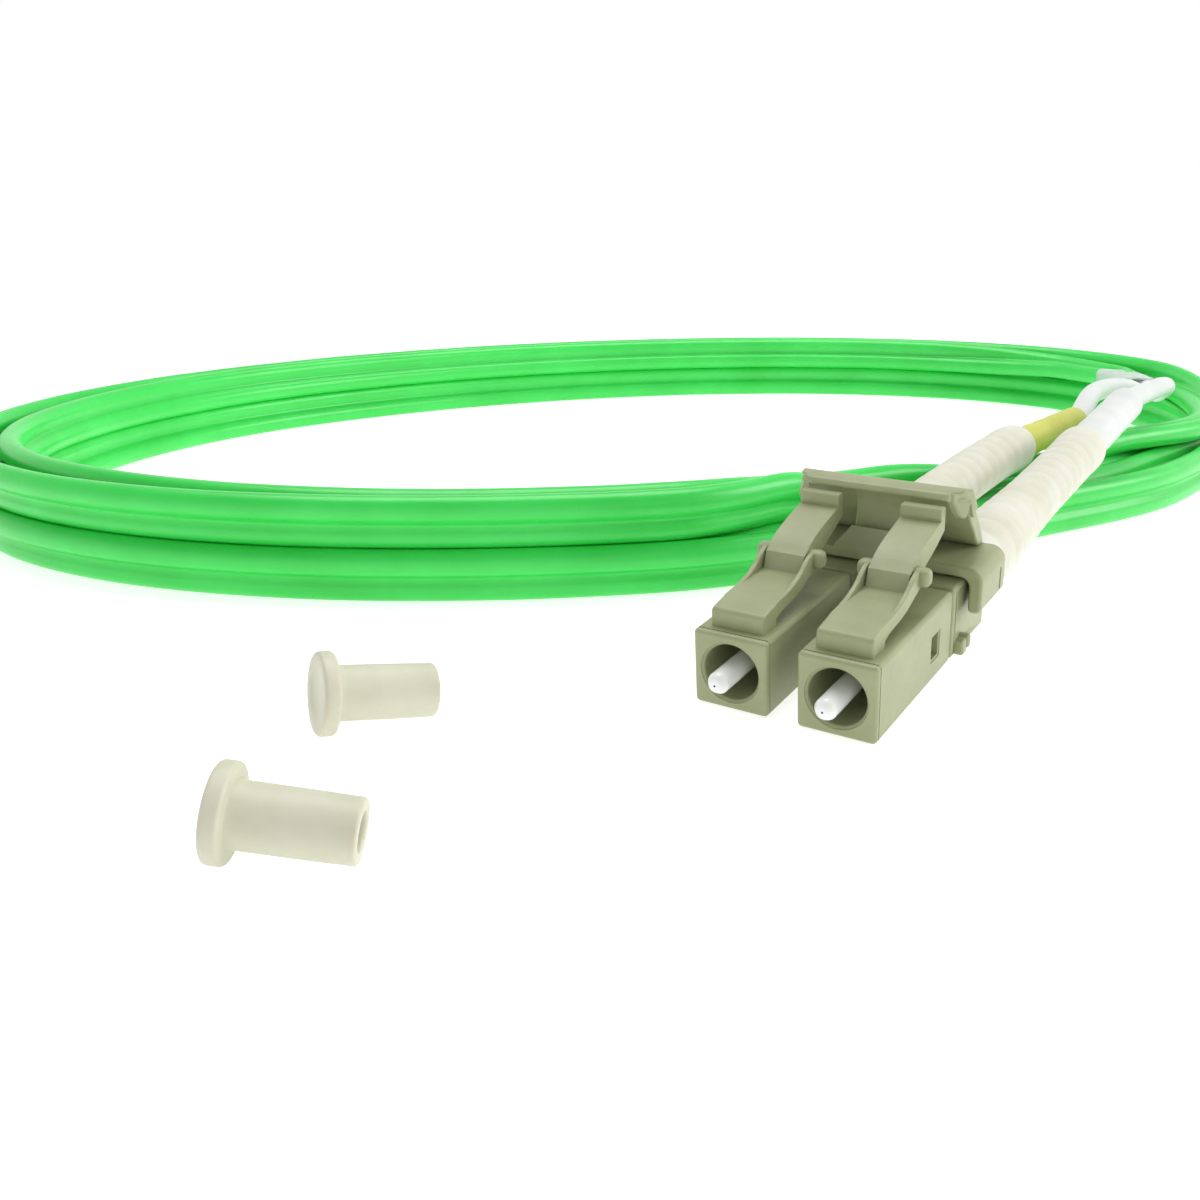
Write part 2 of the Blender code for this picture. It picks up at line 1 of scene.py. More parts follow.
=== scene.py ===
"""Duplex LC fibre optic patch cord: how it looks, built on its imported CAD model.

Metres, +Z up. Small mouldings are drawn in millimetres in the plug's own frame (x across, y from
the mating face back to the cord, z up from the underside) and scaled when they become meshes.
"""

import math

import bmesh
import bpy
from mathutils import Matrix, Vector, noise


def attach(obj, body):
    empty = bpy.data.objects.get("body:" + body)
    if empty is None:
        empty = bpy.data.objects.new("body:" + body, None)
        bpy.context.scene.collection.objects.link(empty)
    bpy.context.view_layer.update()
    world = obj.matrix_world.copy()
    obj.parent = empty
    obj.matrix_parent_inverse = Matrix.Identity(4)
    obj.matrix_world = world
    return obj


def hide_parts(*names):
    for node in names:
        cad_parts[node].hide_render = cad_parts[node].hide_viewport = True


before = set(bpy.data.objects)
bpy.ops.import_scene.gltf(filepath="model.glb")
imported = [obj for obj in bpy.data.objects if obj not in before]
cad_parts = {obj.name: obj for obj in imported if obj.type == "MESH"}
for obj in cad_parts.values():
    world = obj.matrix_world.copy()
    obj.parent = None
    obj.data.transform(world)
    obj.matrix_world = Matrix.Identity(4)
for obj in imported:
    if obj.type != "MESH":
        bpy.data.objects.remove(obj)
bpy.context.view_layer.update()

MM = 0.001
SHELLS = "cord_and_shells"

# Layout of the CAD model, in millimetres where nothing is scaled by MM
ORIGIN = Vector((12.278, 72.945, 0)) * MM
PITCH = 6.25
PLUG = 4.5
PLUG_HALF = PLUG / 2
AXIS_Z = PLUG_HALF
HOUSING_END = 11.2
# Each connector's place, its heading about Z and its tilt about its own X
PLACES = {
    "near": (Vector((9.82, 59.56, 0.05)) * MM, math.radians(-34.2), math.radians(5.96)),
    "far": (Vector((119.5, 212.7, 0.0)) * MM, math.radians(151.3), 0.0),
}
MARKER_START = 49.8
MARKER_LENGTH = {"left": 15.5, "right": 15.0}
MARKER_RADIUS = {"left": 1.35, "right": 1.58}

# The near left leg droops below its plug's line; its boot is bent across and up, from SAG_START back
LEG_DROOP = {("near", "left"): math.radians(5.96)}
BOOT_SAG = {("near", "left"): (0.7, -0.55)}
SAG_START = 30

# Points that each leg passes between its marker and its split
LEG_BENDS = {
    ("near", "left"): [(50.8, 124.0, 8.0), (56.6, 131.6, 7.5)],
    ("near", "right"): [(56.4, 122.2, 8.8), (61.2, 130.6, 7.7)],
    ("far", "left"): [],
    ("far", "right"): [],
}

# Where the cord divides, and the way it points from the legs into the double cord
SPLITS = {
    "near": (Vector((63.4, 142.2, 5.9)) * MM, Vector((0.17, 0.985, -0.02))),
    "far": (Vector((79.8, 140.0, 2.0)) * MM, Vector((-0.48, -0.877, 0))),
}
SHRINK_LENGTH = 12.0 * MM
SHRINK_WALL = 0.16
SHRINK_RINGS = 30
SHRINK_SIDES = 40

# The cord's points from the coil to the far split
FAR_TAIL = [(61.4, 119.4, 2.1), (64.9, 122.6, 2.1), (68.8, 125.4, 2.05), (72.5, 128.5, 2.0)]

# Dust caps: the loose ones' places and headings, and their shape
LOOSE_CAPS = {"rear": ((-14.9, 58.1, 0), 25), "front": ((-16.4, 45.4, 0), -2)}
CAP_LENGTH = 6.4
CAP_FLANGE = 0.9
CAP_FLANGE_R = 2.25
CAP_BODY_R = 1.5
CAP_SEAT = 3.45
CAP_TILT = math.atan2(CAP_FLANGE_R - CAP_BODY_R, CAP_LENGTH - CAP_FLANGE)

# Coil: an oval of four turns of the flat cord, each turned up on its edge
COIL_CENTRE = Vector((6.8, 129.5, 0)) * MM
COIL_HALF = (66.6 * MM, 44.1 * MM)
COIL_TURN = math.radians(25.2)
JACKET_R = 1.0
JACKET_STEP = 1.05
# How far each jacket lies from the middle of a split
SPLIT_STEP = 1.08

# The lanes that the turns lie in: offset from the oval and height in millimetres, roll in degrees.
# The upper two come first, and the inner one of each pair before the outer one.
LANES = [(-1.7, 5.8, 70), (0.35, 5.82, 70), (-1.7, 1.99, 70), (0.35, 2.0, 70)]
LAID_FLAT = (-0.75, 5.1, 8)
TUCK = 1.5
LEFT_END = 172

# Where each turn lies, upright, under the near boots
PRESSED = [-7.75, -5.7, -3.65, -1.6]
PRESSED_HEIGHT = [2.9, 2.05, 2.05, 2.05]
UPRIGHT = 90

# Angles along the oval, in degrees: the turns gather towards the boots after the first, start to leave
# them at the second, and are all in their next lanes by the third. The last three are the cord's own
# first and last angles in the coil, counted on through its turns, and the step between its points.
GATHER = -116
PAST_BOOTS = {"first": -79, "others": -85}
NEXT_LANE = -30
COIL_START = 8
COIL_END = 4 * 360 - 50
COIL_STEP = 4

# The cord joins its first lane from inside, still nearly flat
START_INSET = 1.35
START_ROLL = 14


def eased(value, low, high):
    """0 below low, 1 above high, and a smooth rise between."""
    t = min(1.0, max(0.0, (value - low) / (high - low)))
    return t * t * (3 - 2 * t)


def mixed(a, b, share):
    return a + (b - a) * share


# Camera

CAMERA_HEIGHT = 26.914 * MM
CAMERA_DIP = math.radians(18.435)


def camera():
    data = bpy.data.cameras.new("camera")
    data.sensor_width = 36
    data.lens = 36
    data.clip_start = 0.001
    data.clip_end = 20
    made = bpy.data.objects.new("camera", data)
    bpy.context.collection.objects.link(made)
    made.location = Vector((0, 0, CAMERA_HEIGHT)) - ORIGIN
    made.rotation_euler = (math.pi / 2 - CAMERA_DIP, 0, 0)
    bpy.context.scene.camera = made


# Finishes


def node(tree, kind, **settings):
    made = tree.nodes.new(kind)
    for key, value in settings.items():
        setattr(made, key, value)
    return made


def finish(name, tone, other, roughness, patch=350, grain=2600, relief=0.012, gloss=0.1, **constants):
    """Two tones in soft patches, uneven gloss and a fine moulded grain; constants are shader sockets."""
    made = bpy.data.materials.new(name)
    made.use_nodes = True
    tree = made.node_tree
    shader = tree.nodes["Principled BSDF"]
    place = node(tree, "ShaderNodeTexCoord").outputs["Object"]
    patches = node(tree, "ShaderNodeTexNoise")
    patches.inputs["Scale"].default_value = patch
    patches.inputs["Detail"].default_value = 4
    patches.inputs["Roughness"].default_value = 0.6
    grains = node(tree, "ShaderNodeTexNoise")
    grains.inputs["Scale"].default_value = grain
    grains.inputs["Detail"].default_value = 6
    for texture in (patches, grains):
        tree.links.new(place, texture.inputs["Vector"])
    ramp = node(tree, "ShaderNodeValToRGB")
    ramp.color_ramp.elements[0].position = 0.32
    ramp.color_ramp.elements[0].color = (*other, 1)
    ramp.color_ramp.elements[1].position = 0.66
    ramp.color_ramp.elements[1].color = (*tone, 1)
    tree.links.new(patches.outputs["Fac"], ramp.inputs["Fac"])
    tree.links.new(ramp.outputs["Color"], shader.inputs["Base Color"])
    uneven = node(tree, "ShaderNodeMapRange")
    uneven.inputs["To Min"].default_value = max(0.02, roughness - gloss)
    uneven.inputs["To Max"].default_value = min(1, roughness + gloss)
    tree.links.new(grains.outputs["Fac"], uneven.inputs["Value"])
    tree.links.new(uneven.outputs["Result"], shader.inputs["Roughness"])
    bump = node(tree, "ShaderNodeBump")
    bump.inputs["Strength"].default_value = 0.6
    bump.inputs["Distance"].default_value = relief * MM
    tree.links.new(grains.outputs["Fac"], bump.inputs["Height"])
    tree.links.new(bump.outputs["Normal"], shader.inputs["Normal"])
    for key, value in constants.items():
        shader.inputs[key.replace("_", " ")].default_value = value
    return made


FINISHES = {
    "beige_plastic": finish(
        "beige_plastic_moulded", (0.335, 0.36, 0.20), (0.29, 0.315, 0.165), 0.42, relief=0.01
    ),
    "white_rubber": finish(
        "white_rubber_matt", (0.70, 0.70, 0.61), (0.61, 0.60, 0.47), 0.62, patch=240, relief=0.03,
        Subsurface_Weight=0.15, Subsurface_Scale=0.001,
    ),  # fmt: skip
    "ivory_plastic": finish(
        "ivory_plastic_moulded", (0.62, 0.62, 0.49), (0.54, 0.54, 0.40), 0.5, patch=220, relief=0.015,
        Subsurface_Weight=0.12, Subsurface_Scale=0.001,
    ),  # fmt: skip
    "zirconia": finish(
        "zirconia_polished", (0.86, 0.88, 0.87), (0.8, 0.82, 0.8), 0.18, grain=5000, relief=0.002,
        Subsurface_Weight=0.1, Subsurface_Scale=0.0005,
    ),  # fmt: skip
    "plated_brass": finish(
        "plated_brass_turned", (0.66, 0.62, 0.5), (0.5, 0.47, 0.38), 0.28, relief=0.004, Metallic=1.0
    ),
    "spring_steel": finish(
        "spring_steel_drawn", (0.55, 0.56, 0.58), (0.4, 0.41, 0.43), 0.25, relief=0.004, Metallic=1.0
    ),
    "lime_jacket": finish(
        "lime_jacket_extruded", (0.05, 0.70, 0.105), (0.032, 0.60, 0.07), 0.32, patch=90, relief=0.01,
        Subsurface_Weight=0.1, Subsurface_Scale=0.001,
    ),  # fmt: skip
    "white_jacket": finish(
        "white_jacket_extruded", (0.72, 0.74, 0.73), (0.64, 0.67, 0.64), 0.45, patch=160, relief=0.012
    ),
    "yellow_marker": finish(
        "yellow_marker_sleeve", (0.60, 0.62, 0.085), (0.50, 0.51, 0.06), 0.42, patch=260, relief=0.02
    ),
    "clear_shrink": finish(
        "clear_shrink_sleeve", (0.88, 0.94, 0.89), (0.72, 0.88, 0.75), 0.4, patch=420, relief=0.03,
        Transmission_Weight=0.45, IOR=1.42,
    ),  # fmt: skip
    "natural_buffer": finish(
        "natural_buffer_extruded", (0.78, 0.75, 0.58), (0.7, 0.66, 0.5), 0.5, patch=300
    ),
    "fibre_glass": finish(
        "fibre_end_glass", (0.05, 0.06, 0.06), (0.03, 0.03, 0.04), 0.1, grain=9000, relief=0.0005
    ),
}


# Mesh building, in millimetres


def block(low, high, rounding=0.0, segments=3):
    bm = bmesh.new()
    bmesh.ops.create_cube(bm, size=1)
    for vert in bm.verts:
        vert.co = Vector(high[i] if vert.co[i] > 0 else low[i] for i in range(3))
    return rounded(bm, rounding, segments) if rounding else bm


def rounded(bm, width, segments=3, angle=50):
    """Rounds the edges that are sharper than the angle, in degrees."""
    bmesh.ops.recalc_face_normals(bm, faces=bm.faces)
    sharp = [e for e in bm.edges if e.calc_face_angle(0) > math.radians(angle)]
    bmesh.ops.bevel(
        bm, geom=sharp, offset=width, segments=segments, profile=0.5, affect="EDGES", clamp_overlap=True
    )
    return bm


def prism(outline, low_x, high_x):
    """A side outline of (y, z) points, extruded across from low_x to high_x."""
    bm = bmesh.new()
    face = bm.faces.new([bm.verts.new((low_x, y, z)) for y, z in outline])
    made = bmesh.ops.extrude_face_region(bm, geom=[face])["geom"]
    moved = [item for item in made if isinstance(item, bmesh.types.BMVert)]
    bmesh.ops.translate(bm, verts=moved, vec=(high_x - low_x, 0, 0))
    return bm


def turned(profile, sides=48, centre_z=0.0):
    """A profile of (radius, y) points, closed on itself, turned about the line at centre_z."""
    bm = bmesh.new()
    rings = []
    for radius, y in profile:
        if radius == 0:
            rings.append([bm.verts.new((0, y, centre_z))] * sides)
            continue
        ring = []
        for i in range(sides):
            angle = math.tau * (i + 0.5) / sides
            ring.append(bm.verts.new((radius * math.cos(angle), y, centre_z + radius * math.sin(angle))))
        rings.append(ring)
    for here, there in zip(rings, rings[1:] + rings[:1]):
        for i in range(sides):
            j = (i + 1) % sides
            corners = list(dict.fromkeys((here[i], here[j], there[j], there[i])))
            if len(corners) > 2:
                bm.faces.new(corners)
    return bm


def arc(centre, radius, start, end, steps=5):
    """Points on a circle, with the angles in degrees."""
    angles = [math.radians(mixed(start, end, i / steps)) for i in range(steps + 1)]
    return [(centre[0] + radius * math.cos(a), centre[1] + radius * math.sin(a)) for a in angles]


def flowing(points, steps=4):
    """More points, on a smooth curve through the given ones."""
    points = [Vector(p) for p in points]
    ends = [2 * points[0] - points[1], *points, 2 * points[-1] - points[-2]]
    made = []
    for a, b, c, d in zip(ends, ends[1:], ends[2:], ends[3:]):
        for i in range(steps):
            t = i / steps
            square = (2 * a - 5 * b + 4 * c - d) * t**2
            cube = (3 * b - a - 3 * c + d) * t**3
            made.append(0.5 * (2 * b + (c - a) * t + square + cube))
    return [*made, points[-1]]


def closed_mesh(name, bm):
    bmesh.ops.recalc_face_normals(bm, faces=bm.faces)
    mesh = bpy.data.meshes.new(name)
    bm.to_mesh(mesh)
    bm.free()
    return mesh


def whole(mesh, angle=50):
    """Shades a turned mesh smooth, apart from edges sharper than the angle, and scales it."""
    mesh.shade_smooth()
    mesh.set_sharp_from_angle(angle=math.radians(angle))
    mesh.transform(Matrix.Scale(MM, 4))
    return mesh


def moulding(name, base, others, rounding):
    """Joins or cuts the base with each (operation, bmesh), rounds what is sharp, and scales it."""
    body = bpy.data.objects.new(name, closed_mesh(name, base))
    bpy.context.collection.objects.link(body)
    helpers = []
    for number, (operation, shape) in enumerate(others):
        helper = bpy.data.objects.new(f"{name}_{number}", closed_mesh(name, shape))
        bpy.context.collection.objects.link(helper)
        helpers.append(helper)
        modifier = body.modifiers.new(operation, "BOOLEAN")
        modifier.operation = operation
        modifier.solver = "EXACT"
        modifier.object = helper
    edges = body.modifiers.new("edges", "BEVEL")
    edges.width = rounding
    edges.segments = 2
    edges.limit_method = "ANGLE"
    edges.angle_limit = math.radians(38)
    edges.miter_outer = "MITER_ARC"
    body.data.shade_smooth()
    even = body.modifiers.new("normals", "WEIGHTED_NORMAL")
    even.keep_sharp = True
    even.weight = 80
    bpy.context.view_layer.update()
    graph = bpy.context.evaluated_depsgraph_get()
    mesh = bpy.data.meshes.new_from_object(body.evaluated_get(graph))
    mesh.name = name
    mesh.transform(Matrix.Scale(MM, 4))
    for helper in [*helpers, body]:
        bpy.data.objects.remove(helper, do_unlink=True)
    return mesh


def placed(name, mesh, slot, matrix, body, *nodes):
    """A piece at a place in the frame that rides on a body and stands for CAD nodes."""
    made = bpy.data.objects.new(name, mesh)
    bpy.context.collection.objects.link(made)
    made.matrix_world = matrix
    if not mesh.materials:
        mesh.materials.append(FINISHES[slot])
    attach(made, body)
    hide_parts(*nodes)
    return made


# Cords


def swept(name, points, rolls, section):
    """A section swept along the points: its first axis is level, then turned by the roll."""
    bm = bmesh.new()
    rings = []
    up = Vector((0, 0, 1))
    for i, (point, roll) in enumerate(zip(points, rolls)):
        ahead = (points[min(i + 1, len(points) - 1)] - points[max(i - 1, 0)]).normalized()
        level = ahead.cross(up).normalized()
        upright = level.cross(ahead).normalized()
        first = level * math.cos(roll) + upright * math.sin(roll)
        second = upright * math.cos(roll) - level * math.sin(roll)
        swell = 1 + 0.012 * noise.noise(point * 160)
        rings.append([bm.verts.new(point + (first * x + second * y) * MM * swell) for x, y in section])
    count = len(section)
    for here, there in zip(rings, rings[1:]):
        for j in range(count):
            k = (j + 1) % count
            bm.faces.new((here[j], here[k], there[k], there[j]))
    bm.faces.new(rings[0])
    bm.faces.new(rings[-1])
    mesh = closed_mesh(name, bm)
    mesh.shade_smooth()
    mesh.set_sharp_from_angle(angle=math.radians(70))
    return mesh


def figure_eight():
    """Two round jackets joined by a narrow web."""
    right = arc((JACKET_STEP, 0), JACKET_R, -150, 150, 15)
    return [*right, *[(-x, -y) for x, y in right]]


def evenly(points, values, spacing):
    """The same route and its values, at even steps."""
    lengths = [0.0]
    for a, b in zip(points, points[1:]):
        lengths.append(lengths[-1] + (b - a).length)
    count = max(2, round(lengths[-1] / spacing))
    kept, kept_values = [], []
    i = 0
    for n in range(count + 1):
        at = lengths[-1] * n / count
        while i < len(points) - 2 and lengths[i + 1] < at:
            i += 1
        span = lengths[i + 1] - lengths[i]
        share = (at - lengths[i]) / span if span else 0
        kept.append(points[i].lerp(points[i + 1], share))
        kept_values.append(mixed(values[i], values[i + 1], share))
    return kept, kept_values


def coil_point(angle, offset, height):
    """A point of the oval, at an offset outwards from its middle line, in millimetres."""
    turn = math.radians(angle)
    along, across = COIL_HALF
    point = Vector((along * math.cos(turn), across * math.sin(turn), 0))
    normal = Vector((math.cos(turn) / along, math.sin(turn) / across, 0)).normalized()
    spot = Matrix.Rotation(COIL_TURN, 3, "Z") @ (point + normal * offset * MM)
    return COIL_CENTRE + spot + Vector((0, 0, height * MM)) - ORIGIN


def lane(number, angle):
    """Offset, height and roll of one lane of the stack at an angle from -180 to 180.

    The inner lanes are tucked in at the oval's left end, and all of them just past the boots, where the
    upper outer one lies flat before it stands up again by the near split.
    """
    offset, height, roll = LANES[number]
    if number in (0, 2):
        offset -= TUCK * (1 - eased(abs(abs(angle) - LEFT_END), 12, 50))
    offset -= TUCK * eased(angle, -78, -66) * (1 - eased(angle, -50, -26))
    if number == 1:
        flat = eased(angle, -54, -40) * (1 - eased(angle, -32, -8))
        offset, height, roll = (mixed(a, b, flat) for a, b in zip((offset, height, roll), LAID_FLAT))
    return offset, height, roll


def gathering(number, angle):
    """A turn on its way from its lane to its place under the boots."""
    offset, height, roll = lane(number, angle)
    apart = eased(angle, -110, -90)
    down = eased(angle, -101, -88)
    if number == 0:
        down = 0.55 * eased(angle, -108, -92) + 0.45 * eased(angle, -87, -79)
    return (
        mixed(offset, PRESSED[number], apart),
        mixed(height, PRESSED_HEIGHT[number], down),
        mixed(roll, UPRIGHT, down),
    )


def crossing(angle):
    """The first turn lies down flat as it climbs over the others beyond the boots."""
    offset, height, roll = LAID_FLAT
    return (
        mixed(PRESSED[0], offset, eased(angle, -69, -40)),
        mixed(PRESSED_HEIGHT[0], height, eased(angle, -76, -58)),
        mixed(UPRIGHT, roll, eased(angle, -77, -61)),
    )


def turn_at(number, angle):
    """Offset, height and roll of one turn: along its lane, under the boots, and into the next lane."""
    if angle < GATHER or angle > 0:
        return lane(number, angle)
    if angle < PAST_BOOTS["first" if number == 0 else "others"]:
        return gathering(number, angle)
    if number == 0:
        return crossing(angle)
    if number == 3:
        return mixed(PRESSED[3], 0.0, eased(angle, -80, -60)), PRESSED_HEIGHT[3], UPRIGHT
    under = (PRESSED[number], PRESSED_HEIGHT[number], UPRIGHT)
    shift = eased(angle, -60, -32)
    return tuple(mixed(a, b, shift) for a, b in zip(under, lane(number + 1, angle)))


def zip_route():
    """The double cord, from the near split through its four turns to the far split."""
    start, heading = SPLITS["near"]
    heading = heading.normalized()
    knots = [start - ORIGIN + heading * travel * MM for travel in (2.5, 6, 9, 12)]
    rolls = [0.0, 0.0, 4.0, 10.0]
    for angle in range(COIL_START, COIL_END, COIL_STEP):
        local = (angle + 180) % 360 - 180
        turns = (angle + 180) // 360
        offset, height, roll = turn_at(turns - 1, local) if local < NEXT_LANE else lane(turns, local)
        offset -= START_INSET * (1 - eased(angle, 12, 40))
        knots.append(coil_point(local, offset, height))
        rolls.append(mixed(START_ROLL, roll, eased(angle, 2, 36)))
    for x, y, z in FAR_TAIL:
        knots.append(Vector((x, y, z)) * MM - ORIGIN)
    rolls += [86, 66, 34, 8]
    start, heading = SPLITS["far"]
    for travel in (9, 6, 2.5):
        knots.append(start - ORIGIN + heading.normalized() * travel * MM)
        rolls.append(0)
    points = flowing(knots, 5)
    values = [v.x for v in flowing([(roll, 0) for roll in rolls], 5)]
    return evenly(points, values, 1.3 * MM)


def build_zip():
    points, rolls = zip_route()
    mesh = swept("cord_zip", points, [math.radians(r) for r in rolls], figure_eight())
    made = placed("cord_zip", mesh, "lime_jacket", Matrix.Identity(4), SHELLS, "cord_coil", "cord_tail")
    return made, points


def sag(end, side, y):
    """How far a boot has bent at y, across and up."""
    across, up = BOOT_SAG.get((end, side), (0, 0))
    share = max(0, y - SAG_START) / (MARKER_START - SAG_START)
    return Vector((across, 0, up)) * share**2


def leg_route(end, side, world):
    """One jacket: straight through its boot and marker, over its own bends, and into the split."""
    sign = -1 if side == "left" else 1
    droop = LEG_DROOP.get((end, side), 0)
    turn = 2 * sag(end, side, MARKER_START).x / (MARKER_START - SAG_START)
    axis = []
    for y in (20.6, 28, 34, 40, 47, 52, 60, 66):
        past = max(0, y - MARKER_START)
        bend = sag(end, side, min(y, MARKER_START)) + Vector((past * turn, 0, -past * math.tan(droop)))
        axis.append(world @ (Vector((sign * PITCH / 2, y, AXIS_Z)) + bend))
    start, heading = SPLITS[end]
    heading = heading.normalized()
    across = Vector((heading.y, -heading.x, 0)) * SPLIT_STEP * MM
    port = start - ORIGIN + across * sign
    bends = [Vector(p) * MM - ORIGIN for p in LEG_BENDS[end, side]]
    knots = [*axis, *bends, port - heading * 4.3 * MM, port - heading * 0.3 * MM, port + heading * 3.2 * MM]
    points = flowing(knots, 12)
    return evenly(points, [0.0] * len(points), 1.0 * MM)[0]


def build_leg(end, side, world):
    points = leg_route(end, side, world)
    name = f"cord_leg_{end}_{side}"
    mesh = swept(name, points, [0] * len(points), arc((0, 0), JACKET_R, 0, 345, 23))
    return placed(f"leg_{end}_{side}", mesh, "white_jacket", Matrix.Identity(4), SHELLS, name), points


def shrink_ring(bm, middle, side, up, share, inward):
    """One ring of the sleeve, at a share of its length: flat-sided, pinched at the waist and crumpled."""
    step = share * SHRINK_RINGS
    waist = 0.30 * eased(step, 10, 22)
    lip = 0.12 * (1 - min(1, min(step, SHRINK_RINGS - step) / 2))
    ring = []
    for i in range(SHRINK_SIDES):
        angle = math.tau * i / SHRINK_SIDES
        pinch = 1 - waist * abs(math.sin(angle)) ** 6
        wide = 2.3 - lip - inward
        tall = 1.27 * pinch - lip - inward
        stretch = math.copysign(wide - tall, math.cos(angle)) * min(1, abs(math.cos(angle)) * 2.2)
        across = tall * math.cos(angle) + stretch
        crumple = 1 + 0.05 * noise.noise(Vector((SHRINK_LENGTH * share * 700, angle * 1.6, 3.0)))
        spot = side * across * crumple + up * tall * math.sin(angle) * crumple
        ring.append(bm.verts.new(middle + spot * MM))
    return ring


def build_shrink(end):
    """A thin clear sleeve, shrunk tightly over the cord and loosely over the two legs."""
    start, heading = SPLITS[end]
    heading = heading.normalized()
    side = Vector((heading.y, -heading.x, 0))
    up = side.cross(heading).normalized()
    bm = bmesh.new()
    shells = []
    for inward in (0.0, SHRINK_WALL):
        rings = []
        for step in range(SHRINK_RINGS + 1):
            share = step / SHRINK_RINGS
            middle = start - ORIGIN + heading * SHRINK_LENGTH * share
            rings.append(shrink_ring(bm, middle, side, up, share, inward))
        shells.append(rings)
    outer, inner = shells
    bands = [pair for rings in shells for pair in zip(rings, rings[1:])]
    bands += [(outer[0], inner[0]), (outer[-1], inner[-1])]
    for here, there in bands:
        for j in range(SHRINK_SIDES):
            k = (j + 1) % SHRINK_SIDES
            bm.faces.new((here[j], here[k], there[k], there[j]))
    mesh = closed_mesh(f"shrink_{end}", bm)
    mesh.shade_smooth()
    name = f"split_shrink_{end}"
    return placed(f"shrink_{end}", mesh, "clear_shrink", Matrix.Identity(4), SHELLS, name)


# Connector mouldings


def front_housing():
    """A square box with its bore, a stepped block for the latch, two windows and a line round its face."""
    half, past = PLUG_HALF, 1.0
    shell = block((-half, 0, 0), (half, HOUSING_END, PLUG), 0.26, 4)
    corner = arc((1.22, 5.26), 0.32, 170, 100, 4)
    step = [(0.9, 4.2), (0.9, 5.12), *corner, (1.7, 5.66), (2.6, 5.77), (2.6, 4.2)]
    collar = rounded(prism(step, -1.6, 1.6), 0.14, 3, 60)
    bore = turned(
        [
            (0, -past), (1.83, -past), (1.83, -0.02), (1.78, 0.07), (1.68, 0.16), (1.65, 0.25),
            (1.65, 6.1), (1.45, 6.1), (1.45, HOUSING_END + past), (0, HOUSING_END + past),
        ],
        64,
        AXIS_Z,
    )  # fmt: skip
    window = block((-half - past, 8.0, 1.4), (half + past, 9.1, 2.8), 0.1, 2)
    rims = [block((s * half - 0.07, 7.86, 1.26), (s * half + 0.07, 9.24, 2.94), 0.05, 2) for s in (-1, 1)]
    cuts = [("UNION", collar), ("DIFFERENCE", bore)]
    cuts += [("DIFFERENCE", rim) for rim in rims]
    cuts.append(("DIFFERENCE", window))
    for low, high in (
        ((-half - past, 0.36, 4.44), (half + past, 0.45, 4.6)),
        ((half - 0.06, 0.36, -past), (half + past, 0.45, 4.6)),
        ((-half - past, 0.36, -past), (-half + 0.06, 0.45, 4.6)),
        ((-half - past, 0.36, -past), (half + past, 0.45, 0.06)),
    ):
        cuts.append(("DIFFERENCE", block(low, high)))
    return moulding("front_housing", shell, cuts, 0.035)


def latch_lever():
    """A spring arm whose top sweeps up to a step, with raised edges, two ears and a lipped tail."""
    under = flowing([(2.36, 4.72), (3.2, 4.98), (4.4, 5.1), (5.4, 5.25), (6.4, 5.55), (7.3, 5.9)])
    over = flowing([(7.0, 5.95), (6.2, 5.93), (5.2, 5.9), (4.2, 5.86), (3.2, 5.81), (2.36, 5.75)])
    half, edge_in, ear, tail_half = 1.585, 1.3, 2.12, 1.22
    arm = rounded(prism([*under, *over], -half, half), 0.09, 2, 60)
    top = flowing(
        [(3.4, 5.8), (4.3, 5.92), (5.1, 6.1), (5.8, 6.36), (6.4, 6.72), (7.0, 6.98), (7.7, 6.98), (8.2, 6.7)]
    )
    edge = [*top, (8.2, 6.2), (7.0, 5.75), (5.4, 5.45), (4.4, 5.3), (3.4, 5.2)]
    rims = ((-half, -edge_in), (edge_in, half))
    edges = [rounded(prism(edge, *span), 0.06, 2, 60) for span in rims]
    back = flowing([(6.82, 6.92), (7.8, 7.48), (8.9, 7.86), (10.2, 8.16), (11.45, 8.42)])
    heel = arc((11.62, 8.62), 0.2, 235, 180, 3)
    lip = [*heel, (11.42, 9.0), *arc((11.57, 9.02), 0.15, 180, 90, 3), (12.0, 9.17)]
    below = flowing([(12.12, 7.7), (10.8, 7.1), (9.4, 6.6), (8.2, 6.2), (7.2, 5.85)])
    tail_side = [(6.42, 5.85), *back, *lip, (12.12, 9.05), *below]
    tail = rounded(prism(tail_side, -tail_half, tail_half), 0.1, 3, 60)
    ears = block((-ear, 7.2, 6.0), (ear, 8.1, 7.08), 0.36, 4)
    parts = [("UNION", edges[0]), ("UNION", edges[1]), ("UNION", tail), ("UNION", ears)]
    return moulding("latch_lever", arm, parts, 0.03)


def rear_body():
    """The plug's back half: a box with two pegs a side, the crimp post and the spring's pocket."""
    half = PLUG_HALF
    shell = block((-half, HOUSING_END + 0.15, 0), (half, 17.2, PLUG), 0.24, 4)
    post = turned([(0, 16.5), (1.3, 16.5), (1.3, 20.0), (1.2, 20.2), (0, 20.2)], 40, AXIS_Z)
    pegs = block((-half - 0.5, 12.0, 0.05), (half + 0.5, 12.75, 1.05), 0.16, 3)
    knobs = block((-half - 0.62, 12.6, 0.3), (half + 0.62, 13.15, 1.15), 0.2, 3)
    pocket = turned([(0, 10), (1.35, 10), (1.35, 13.9), (0.65, 13.9), (0.65, 21), (0, 21)], 40, AXIS_Z)
    cuts = [("UNION", post), ("UNION", pegs), ("UNION", knobs), ("DIFFERENCE", pocket)]
    for x in (-half, half):
        cuts.append(("DIFFERENCE", block((x - 0.05, 11.75, 0.3), (x + 0.05, 11.83, 4.2))))
    return moulding("rear_body", shell, cuts, 0.035)


